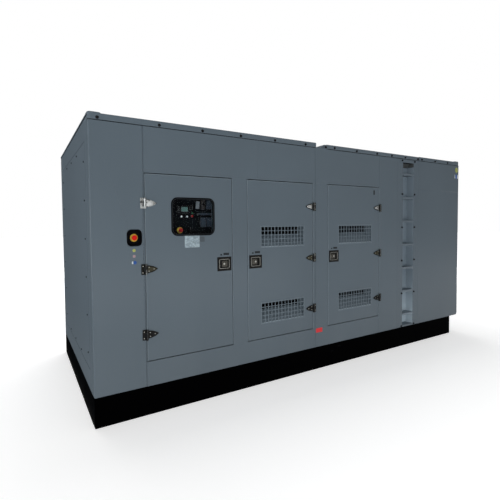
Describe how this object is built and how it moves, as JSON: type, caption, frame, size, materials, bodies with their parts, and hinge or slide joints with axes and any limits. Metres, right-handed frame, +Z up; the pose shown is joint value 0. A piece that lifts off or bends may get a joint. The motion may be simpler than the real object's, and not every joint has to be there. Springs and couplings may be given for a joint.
{
  "type": "enclosed diesel generator set",
  "caption": "Long sound-proof steel canopy on a black skid, with hinged side doors, grilles, a window over the controls, a recessed ladder and an emergency stop.",
  "frame": {"origin": "on the ground under the middle of the canopy, without its doors open", "axes": "+X along the canopy from the control end to the overhanging end, +Y from the door side to the far side, +Z up"},
  "size_m": [5.01, 1.998, 2.4],
  "materials": {
    "canopy_paint": "smooth satin grey-blue enamel",
    "base_black": "satin black enamel",
    "hinge_black": "black lacquer worn to bright zinc on its edges",
    "lock_black": "black lacquer with bright worn rims",
    "stop_black": "matt black moulding",
    "stop_yellow": "glossy yellow moulding",
    "stop_red": "glossy red moulding",
    "cabinet_black": "fine textured black powder coat",
    "stand_grey": "satin grey enamel",
    "rubber_black": "matt black extruded rubber",
    "window_tint": "clear, slightly tinted pane"
  },
  "bodies": {
    "canopy": {"base_rail_front": "base_black", "base_rail_rear": "base_black", "base_end_members": "base_black", "base_cross_members": "base_black", "deck_plate": "base_black", "overhang_plate": "canopy_paint", "corner_panel_left": "canopy_paint", "front_header": "canopy_paint", "front_sill": "canopy_paint", "post_1": "canopy_paint", "post_2": "canopy_paint", "mid_panel": "canopy_paint", "corner_panel_right": "canopy_paint", "ladder_surround": "canopy_paint", "ladder_flanges": "canopy_paint", "ladder_cheeks": "canopy_paint", "ladder_back": "canopy_paint", "ladder_rungs": "canopy_paint", "left_end_wall": "canopy_paint", "left_end_cover": "canopy_paint", "right_end_wall": "canopy_paint", "right_end_cover": "canopy_paint", "rear_wall": "canopy_paint", "rear_doors": "canopy_paint", "rear_grilles": "canopy_paint", "rear_baffles": "canopy_paint", "rear_hinges": "hinge_black", "rear_locks": "lock_black", "roof_pan_1": "canopy_paint", "roof_pan_2": "canopy_paint", "roof_pan_3": "canopy_paint", "roof_gutter": "canopy_paint", "wall_hinge_leaves": "hinge_black", "stop_housing": "stop_black", "stop_collar": "stop_yellow", "stop_button": "stop_red", "control_cabinet": "cabinet_black", "control_stand": "stand_grey"},
    "first_door": {"door_1": "canopy_paint", "door_1_hinge_leaves": "hinge_black", "door_1_lock": "lock_black", "window_rubber": "rubber_black", "window_glass": "window_tint"},
    "second_door": {"door_2": "canopy_paint", "door_2_hinge_leaves": "hinge_black", "door_2_lock": "lock_black", "door_2_grilles": "canopy_paint", "door_2_baffles": "canopy_paint"},
    "third_door": {"door_3": "canopy_paint", "door_3_hinge_leaves": "hinge_black", "door_3_lock": "lock_black", "door_3_grilles": "canopy_paint", "door_3_baffles": "canopy_paint"}
  },
  "joints": [
    {"name": "first_door_hinge", "type": "hinge", "parent": "canopy", "child": "first_door", "pos_m": [-2.078, -0.989, 1.2015], "axis": [0, 0, -1], "range_deg": [0, 110]},
    {"name": "second_door_hinge", "type": "hinge", "parent": "canopy", "child": "second_door", "pos_m": [-0.262, -0.989, 1.2015], "axis": [0, 0, 1], "range_deg": [0, 110]},
    {"name": "third_door_hinge", "type": "hinge", "parent": "canopy", "child": "third_door", "pos_m": [0.794, -0.989, 1.2015], "axis": [0, 0, 1], "range_deg": [0, 110]}
  ]
}
